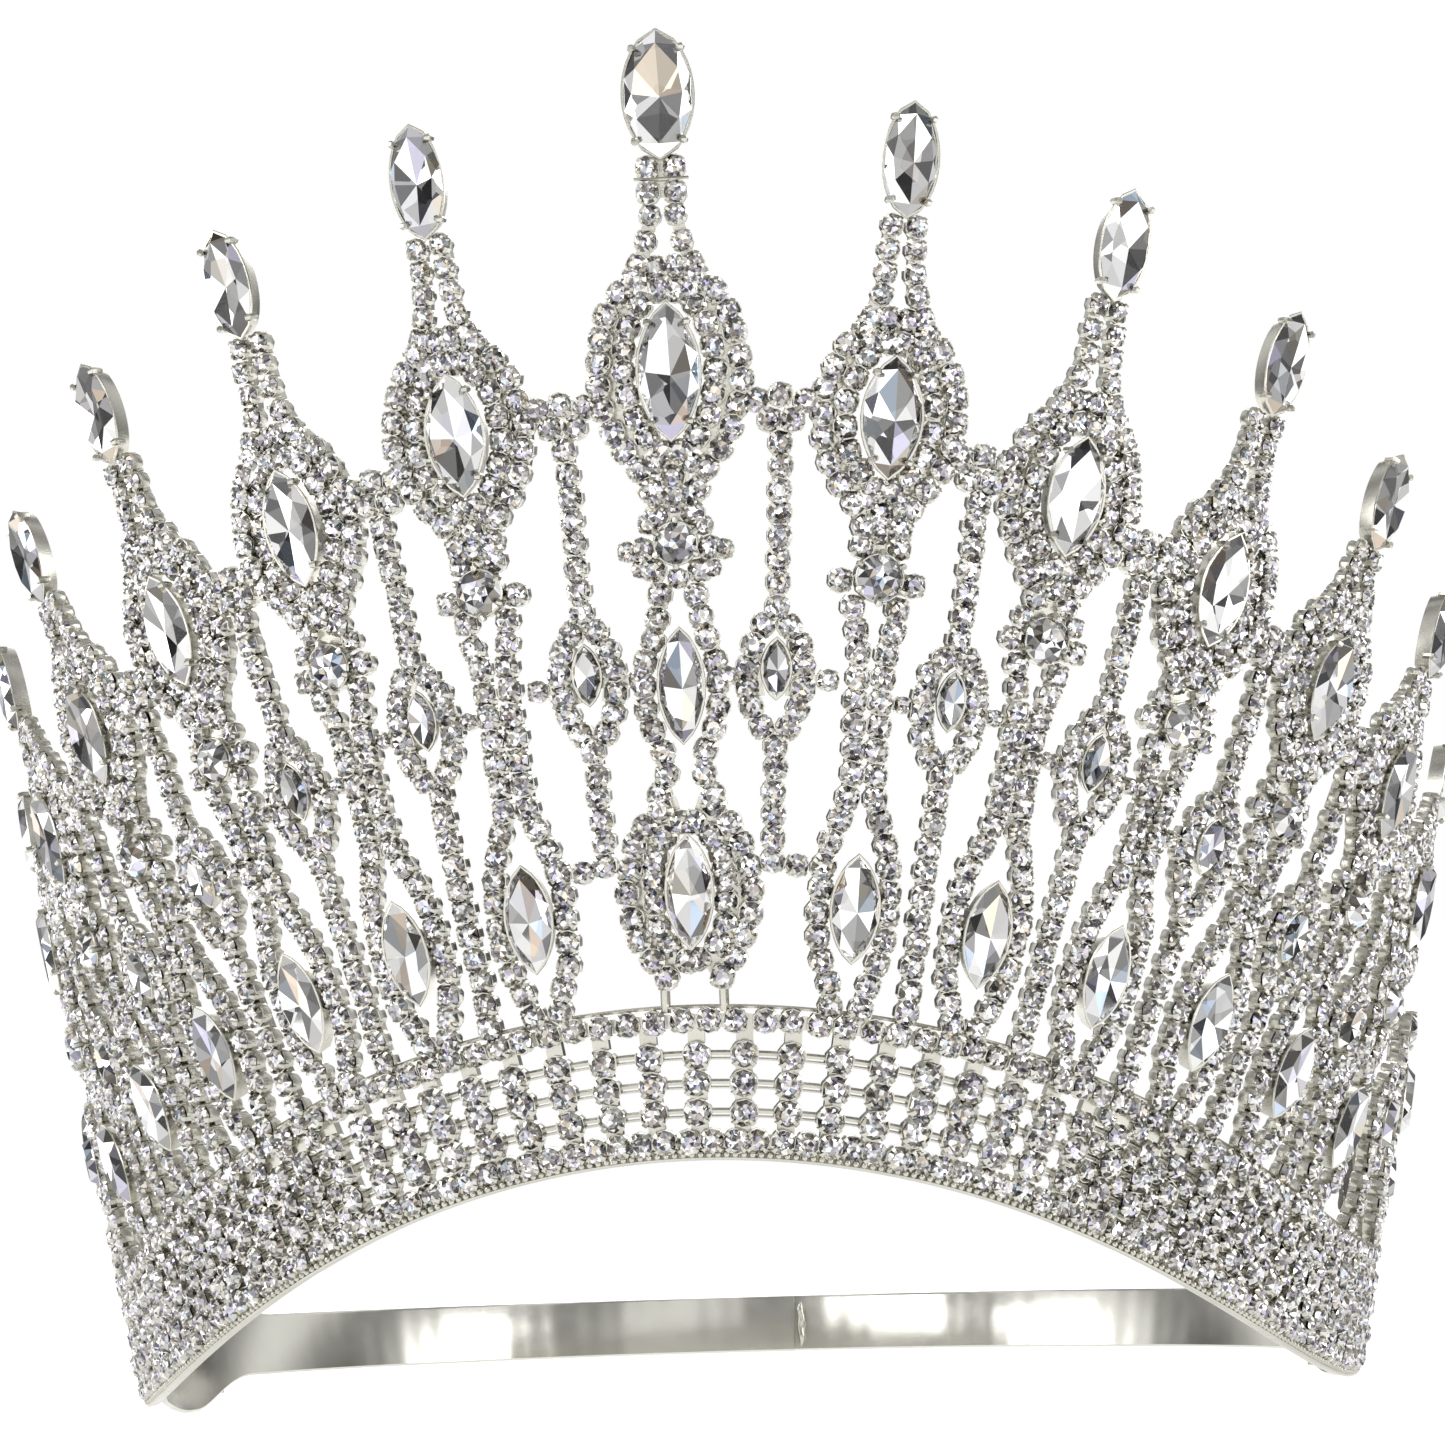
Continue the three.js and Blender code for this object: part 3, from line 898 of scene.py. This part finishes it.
def crystal(name, cell, spread, tint, roughness):
    """Foil-backed cut glass: each cell inside the stone sends its reflection another way."""
    n = Nodes(name)
    colour = n.cells(1000 / cell)
    centred = n.vector("SUBTRACT", colour, (0.5, 0.5, 0.5))
    scaled = n.vector("MULTIPLY", centred, (spread, spread, spread))
    leaned = n.vector("ADD", n.new("ShaderNodeNewGeometry").outputs["Normal"], scaled)
    n.link(n.vector("NORMALIZE", leaned), n.shader.inputs["Normal"])
    parts = n.new("ShaderNodeSeparateColor")
    n.link(colour, parts.inputs[0])
    facet = n.new("ShaderNodeAttribute", attribute_name="facet").outputs["Color"]
    # Painted reflections: each cell inside the stone gets a grey from near black to white in its
    # colour, for the light or dark it would reflect
    shade = n.ramp(parts.outputs[0], [
        (0.0, (0.06, 0.055, 0.06)), (0.12, (0.2, 0.17, 0.16)), (0.25, (0.4, 0.39, 0.38)),
        (0.45, (0.66, 0.65, 0.63)), (0.66, (0.88, 0.88, 0.87)), (0.84, (1.0, 1.0, 1.0))],
        "CONSTANT")
    # Painted fire: a few cells are tinted violet, amber or blue
    painted_fire = n.ramp(parts.outputs[1], [
        (0.0, (0.78, 0.74, 1.0)), (0.13, (1, 1, 1)), (0.78, (1.0, 0.88, 0.7)),
        (0.88, (1, 1, 1)), (0.95, (0.7, 0.82, 1.0))], "CONSTANT")
    # The base colour mixes the painted facet reflections of the colour layer with those of the
    # cells, by `tint`
    painted_reflections = n.mix(tint, facet, n.mix(1.0, shade, painted_fire, "MULTIPLY"))
    n.link(painted_reflections, n.shader.inputs["Base Color"])
    n.link(n.spread(n.noise(900), roughness * 0.5, roughness * 1.5), n.shader.inputs["Roughness"])
    n.shader.inputs["Metallic"].default_value = 0.9
    n.shader.inputs["Coat Weight"].default_value = 0.6
    n.shader.inputs["Coat Roughness"].default_value = 0.03
    return n.material


def silver(name, light, dark, roughness, scratch, metal=1.0):
    """Rhodium-bright plate with faint clouding, fine polishing lines and duller patches."""
    n = Nodes(name)
    cloud = n.noise(160, 4)
    n.link(n.mix(cloud, (*dark, 1), (*light, 1)), n.shader.inputs["Base Color"])
    dull = n.spread(n.noise(420, 3), roughness * 0.7, roughness * 1.45)
    n.link(dull, n.shader.inputs["Roughness"])
    stretch = n.new("ShaderNodeMapping")
    stretch.inputs["Scale"].default_value = (1, 1, 9)
    n.link(n.where, stretch.inputs["Vector"])
    lines = n.noise(1400, 2, stretch.outputs[0])
    n.link(n.bump(lines, scratch, 0.00004), n.shader.inputs["Normal"])
    n.shader.inputs["Metallic"].default_value = metal
    return n.material


# The two crystal materials, with painted reflections and painted fire in their colour
PAVE_CRYSTAL = crystal("pave crystal", 0.5, 0.95, 0.7, 0.05)
LARGE_CRYSTAL = crystal("large crystal", 3.0, 0.16, 0.15, 0.03)
SETTING = silver("setting silver", (0.65, 0.635, 0.575), (0.46, 0.45, 0.395), 0.24, 0.25)
POLISHED = silver("polished strap silver", (0.71, 0.7, 0.64), (0.67, 0.66, 0.6), 0.17, 0.1, 0.88)


# ---- Pieces ----

def name_of(index):
    """c, l1, r1 and so on, as in the CAD model's node names."""
    if index == 0:
        return "c"
    return ("l" if index < 0 else "r") + str(math.ceil(abs(index)))


def finish_pave(pave, name, replaced, stones=()):
    """Makes the settings, the small stones and the cut stones of one part."""
    pave.metal.piece(f"{name}_settings", SETTING, "silver_plate", replaced, 35)
    pave.crystal.piece(f"{name}_rhinestones", PAVE_CRYSTAL, "crystal")
    pave.big.piece(f"{name}_cut_stones", LARGE_CRYSTAL, "crystal", stones)


def build_columns():
    for index in range(-OUTER_COLUMN, OUTER_COLUMN + 1):
        label = name_of(index)
        stones = ()
        if abs(index) <= LAST_TALL:
            pave = centre_column() if index == 0 else side_column(index)
            stones = (f"main_stone_{label}", f"tip_stone_{label}")
        else:
            pave = end_column(index)
        finish_pave(pave, f"column_{label}", (f"column_frame_{label}",), stones)
    for n in range(len(BRIDGE_STONE)):
        for side in (-1, 1):
            index = side * (n + 0.5)
            finish_pave(bridge(index), f"link_{name_of(index)}", (f"bridge_{name_of(index)}",))
    for index, h in DROP_STONES:
        for side in (-1, 1):
            finish_pave(trim(side * index, h), f"side_drop_{name_of(side * index)}", ())


def band_tube(up, radius, out, batch, steps=220):
    """A round wire that runs the whole length of the band."""
    points = []
    for i in range(steps + 1):
        run = HALF_RUN * (2 * i / steps - 1)
        points.append(roll(*band_point(run, up)[0], out))
    batch.add(tube(points, radius))


def band_rail(stations, half, back, batch, turned_by):
    """A narrow plate through (run, up) points of the band, square to the way they go."""
    places = []
    for run, up in stations:
        flat, turn = band_point(run, up)
        places.append(seat(*flat, 0.0, turn - turned_by))
    batch.add(strip(places, half, back, RAIL_FRONT))


def build_band():
    """Uprights of cups joined by thin bars, between dense rows at the top and the bottom."""
    pave = Pave()
    count = 2 * round(HALF_RUN / BAND_PITCH)
    end = HALF_RUN - BAND_INSET
    step = 2 * end / count
    for i in range(count + 1):
        run = -end + i * step
        angle = edge_angle(run)
        size = 1.12 if angle > OPEN_HALF_ANGLE else 1.12 + 0.16 * smoothstep(angle, 6, 20)
        for up in BAND_ROWS:
            flat, turn = band_point(run, up)
            pave.stone(0, 0, size=size, place=seat(*flat, 0.0, turn))
        back = UPRIGHT_DEEP if DEEP_FROM_ANGLE < angle < PADDLE_CLEAR_ANGLE else RAIL_BACK
        upright = [(run, up) for up in (2.0, 5.0, 8.0, 11.0, 14.2)]
        band_rail(upright, UPRIGHT_HALF, back, pave.metal, 0)
        middle = run + step / 2
        if edge_angle(middle) > OPEN_HALF_ANGLE and i < count:
            for up in BAND_FILL:
                flat, turn = band_point(middle, up)
                pave.stone(0, 0, size=0.86, place=seat(*flat, -0.15, turn))
    dense = round(2 * end / EDGE_PITCH)
    for up in BAND_EDGES:
        steps = [(-end + 2 * end * i / 200, up) for i in range(201)]
        band_rail(steps, RAIL_HALF, RAIL_BACK, pave.metal, math.pi / 2)
        for i in range(dense + 1):
            flat, turn = band_point(-end + i * 2 * end / dense, up)
            pave.stone(0, 0, place=seat(*flat, 0.0, turn))
    for up in BAND_ROWS:
        band_tube(up + 0.1, 0.3, -0.35, pave.metal)
        band_tube(up - 0.45, 0.16, -0.3, pave.metal)
    band_tube(BAND_HEIGHT - 0.4, 0.22, -0.2, pave.metal)
    for side in (-1, 1):
        ends = [roll(*band_point(side * (HALF_RUN - 0.3), up)[0], 0.0) for up in (2, 6, 11, 15)]
        pave.metal.add(tube(ends, 0.5))
    pave.metal.piece("band_settings", SETTING, "silver_plate", ("base_band",), 35)
    pave.crystal.piece("band_rhinestones", PAVE_CRYSTAL, "crystal")


def build_rim():
    """Milgrain beads over a thin plain edge."""
    rim = Batch()
    bead = lathe([(0.1, -0.36), (0.27, -0.27), (0.38, 0), (0.27, 0.27), (0.1, 0.36)], 8)
    count = round(2 * HALF_RUN / BEAD_PITCH)
    for i in range(count):
        run = -HALF_RUN + 0.5 + i * (2 * HALF_RUN - 1) / (count - 1)
        flat, turn = band_point(run, 0.62)
        rim.add(bead, seat(*flat, 0.3, turn))
    section = [(0, 0.0, -0.65), (0, 0.0, 0.3), (0, 0.08, 0.42), (0, 0.28, 0.42), (0, 0.36, 0.3),
               (0, 1.1, 0.05), (0, 1.2, -0.5), (0, 0.2, -0.72)]
    steps = 260
    rings = []
    for i in range(steps + 1):
        flat, turn = band_point(HALF_RUN * (2 * i / steps - 1), 0.0)
        place = seat(*flat, 0.0, turn)
        rings.append(offsets(place, section))
    rim.add(inside_out(rings_solid(rings)))
    rim.piece("band_milgrain_edge", SETTING, "silver_plate", ("milgrain_rim",), 40)


def smoothstep(value, low, high):
    """0 up to `low`, 1 from `high`, and an eased rise between them."""
    t = min(max((value - low) / (high - low), 0), 1)
    return t * t * (3 - 2 * t)


def corner_cut(degrees):
    """How far the paddle's front corners are rounded off, as a share of the corner's height."""
    t = min(max((PADDLE_FRONT + PADDLE_ROUND - degrees) / PADDLE_ROUND, 0), 1)
    return 1 - math.sqrt(1 - t * t)


def build_strap(side, drop, outset, name):
    """A strap half with eased edges, narrowing from its paddle to its lapped end."""
    rings = []
    steps = 420
    for i in range(steps + 1):
        degrees = PADDLE_FRONT + STRAP_SWEEP * i / steps
        ripple = 0.022 * math.sin(0.9 * degrees) + 0.007 * math.sin(2.3 * degrees + side)
        lobe = 0.5 + 0.5 * smoothstep(degrees, *LOBE_OPENS)
        lobe *= 1 - smoothstep(degrees, *LOBE_CLOSES)
        low = drop * lobe + PADDLE_ROUND * corner_cut(degrees)
        rise = PADDLE_RISE * (1 - smoothstep(degrees, *SHOULDER))
        high = STRAP_HEIGHT + rise - PADDLE_ROUND * corner_cut(degrees)
        ripple *= smoothstep(degrees, *RIPPLE_FROM)
        shift = outset * smoothstep(degrees, *LAP_FROM) + ripple
        section = [(low + 0.05, -0.25), (low, 0.0), (low + 0.05, 0.25), (low + 0.3, 0.4),
                   (high - 0.3, 0.4), (high - 0.05, 0.25), (high, 0.0), (high - 0.05, -0.25),
                   (high - 0.3, -0.4), (low + 0.3, -0.4)]
        ring = []
        for z, out in section:
            radius = BASE_RADIUS + z * math.tan(FLARE) + STRAP_MIDDLE + out + shift
            a = math.radians(side * degrees)
            ring.append((radius * math.sin(a), -radius * math.cos(a), z))
        rings.append(ring if side < 0 else ring[::-1])
    batch = Batch()
    batch.add(rings_solid(rings))
    batch.piece(name, POLISHED, "polished_strap", (name.replace("strap_half", "back_strap"),), 30)


def build_solder():
    """The uneven bead of solder that joins the lapped halves."""
    low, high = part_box("strap_solder")
    centre = np.array([(low[i] + high[i]) * 500 for i in range(3)])
    reach = (high[2] - low[2]) * 500
    path = []
    taper = []
    for i in range(13):
        t = 2 * i / 12 - 1
        wobble = 0.08 * math.sin(7 * t)
        path.append(centre + np.array([wobble, 0.1 * math.cos(5 * t), reach * t]))
        taper.append(0.35 + 0.75 * math.sqrt(max(0.0, 1 - t * t)) + 0.1 * math.sin(9 * t + 1))
    batch = Batch()
    batch.add(tube(path, 0.42, 12, taper))
    batch.piece("lap_solder", SETTING, "polished_strap", ("strap_solder",), 60)


# ---- Floor, light and camera ----

def build_floor():
    """A wide pale disc whose painted glow fades it to the white of the surroundings."""
    mesh = bpy.data.meshes.new("studio_floor")
    radius, z, sides = 4.0, -0.0038, 64
    angles = [2 * math.pi * i / sides for i in range(sides)]
    ring = [(radius * math.cos(a), radius * math.sin(a), z) for a in angles]
    mesh.from_pydata(ring, [], [tuple(range(sides))])
    n = Nodes("studio floor white")
    n.shader.inputs["Base Color"].default_value = (0.9, 0.9, 0.89, 1)
    n.shader.inputs["Roughness"].default_value = 0.8
    n.shader.inputs["Emission Color"].default_value = (1, 1, 1, 1)
    # Painted glow: emission strength rises from 0.5 within 0.1 m of the middle to 1.0 beyond 0.6 m
    away = n.new("ShaderNodeVectorMath", operation="LENGTH")
    n.link(n.where, away.inputs[0])
    glow = n.spread(away.outputs["Value"], 0.5, 1.0, 0.1, 0.6)
    n.link(glow, n.shader.inputs["Emission Strength"])
    mesh.materials.append(n.material)
    floor = bpy.data.objects.new("studio_floor", mesh)
    bpy.context.scene.collection.objects.link(floor)


def build_world():
    """White to the camera; to the metal and stones, a tent of white panels with dark gaps."""
    world = bpy.data.worlds.new("studio")
    bpy.context.scene.world = world
    world.use_nodes = True
    world.node_tree.nodes.clear()
    t = Tree(world.node_tree)
    # Seven panels round the tent, their edges shifted by slower waves up its side
    parts = t.new("ShaderNodeSeparateXYZ")
    t.link(t.new("ShaderNodeTexCoord").outputs["Generated"], parts.inputs[0])
    azimuth = t.reckon("ARCTAN2", parts.outputs[0], parts.outputs[1])
    panels = t.reckon("SINE", t.reckon("MULTIPLY_ADD", azimuth, 7.0, 1.1))
    tiers = t.reckon("SINE", t.reckon("MULTIPLY", parts.outputs[2], 2.6))
    waves = t.spread(t.reckon("ADD", panels, tiers), 0.0, 1.0, -1.6, 1.8)
    greys = [(0.0, 0.015), (0.3, 0.03), (0.48, 0.25), (0.7, 0.6), (0.88, 1.2)]
    shades = t.ramp(waves, [(position, (g, g, g)) for position, g in greys], "LINEAR")
    tent = t.new("ShaderNodeBackground")
    t.link(shades, tent.inputs["Color"])
    tent.inputs["Strength"].default_value = 0.8
    white = t.new("ShaderNodeBackground")
    white.inputs["Color"].default_value = (1, 1, 1, 1)
    choose = t.new("ShaderNodeMixShader")
    t.link(t.new("ShaderNodeLightPath").outputs["Is Camera Ray"], choose.inputs["Fac"])
    t.link(tent.outputs[0], choose.inputs[1])
    t.link(white.outputs[0], choose.inputs[2])
    t.link(choose.outputs[0], t.new("ShaderNodeOutputWorld").inputs["Surface"])


def softbox(name, place, size, power):
    """A rectangular lamp aimed at the middle of the tiara, unseen by the camera."""
    data = bpy.data.lights.new(name, "AREA")
    data.shape = "RECTANGLE"
    data.size, data.size_y = size
    data.energy = power
    lamp = bpy.data.objects.new(name, data)
    lamp.location = place
    target = np.array([0, 0, 0.06]) - np.array(place)
    lamp.rotation_euler = Vector(target).to_track_quat("-Z", "Y").to_euler()
    lamp.visible_camera = False
    bpy.context.scene.collection.objects.link(lamp)


def build_camera():
    """Eye level with the strap, looking 7.9 degrees up through a long lens."""
    yaw, pitch, lean = CAMERA_YAW, CAMERA_PITCH, CAMERA_LEAN
    ahead = Vector((math.sin(yaw) * math.cos(pitch), math.cos(yaw) * math.cos(pitch),
                    math.sin(pitch)))
    right = ahead.cross(Vector((0, 0, 1))).normalized()
    up = right.cross(ahead)
    leaned_right = right * math.cos(lean) - up * math.sin(lean)
    leaned_up = up * math.cos(lean) + right * math.sin(lean)
    data = bpy.data.cameras.new("camera")
    data.sensor_width = 36.0
    data.lens = CAMERA_LENS
    data.clip_start = 0.01
    camera = bpy.data.objects.new("camera", data)
    camera.matrix_world = Matrix((
        (leaned_right.x, leaned_up.x, -ahead.x, CAMERA_PLACE[0]),
        (leaned_right.y, leaned_up.y, -ahead.y, CAMERA_PLACE[1]),
        (leaned_right.z, leaned_up.z, -ahead.z, CAMERA_PLACE[2]),
        (0, 0, 0, 1)))
    bpy.context.scene.collection.objects.link(camera)
    bpy.context.scene.camera = camera


build_camera()
build_columns()
build_band()
build_rim()
build_strap(-1, PADDLE_LOW, 0.0, "strap_half_left")
build_strap(1, PADDLE_LOW_RIGHT, LAP_OUTSET, "strap_half_right")
build_solder()
build_floor()
build_world()
softbox("key_panel", (-0.55, -0.75, 0.75), (0.5, 0.5), 2.4)
softbox("right_panel", (0.85, -0.3, 0.3), (0.3, 0.7), 2.6)
softbox("left_panel", (-0.85, -0.25, 0.25), (0.3, 0.7), 2.2)
softbox("back_panel", (0.1, 0.9, 0.6), (0.8, 0.4), 2.4)
bpy.context.scene.view_settings.view_transform = "Standard"
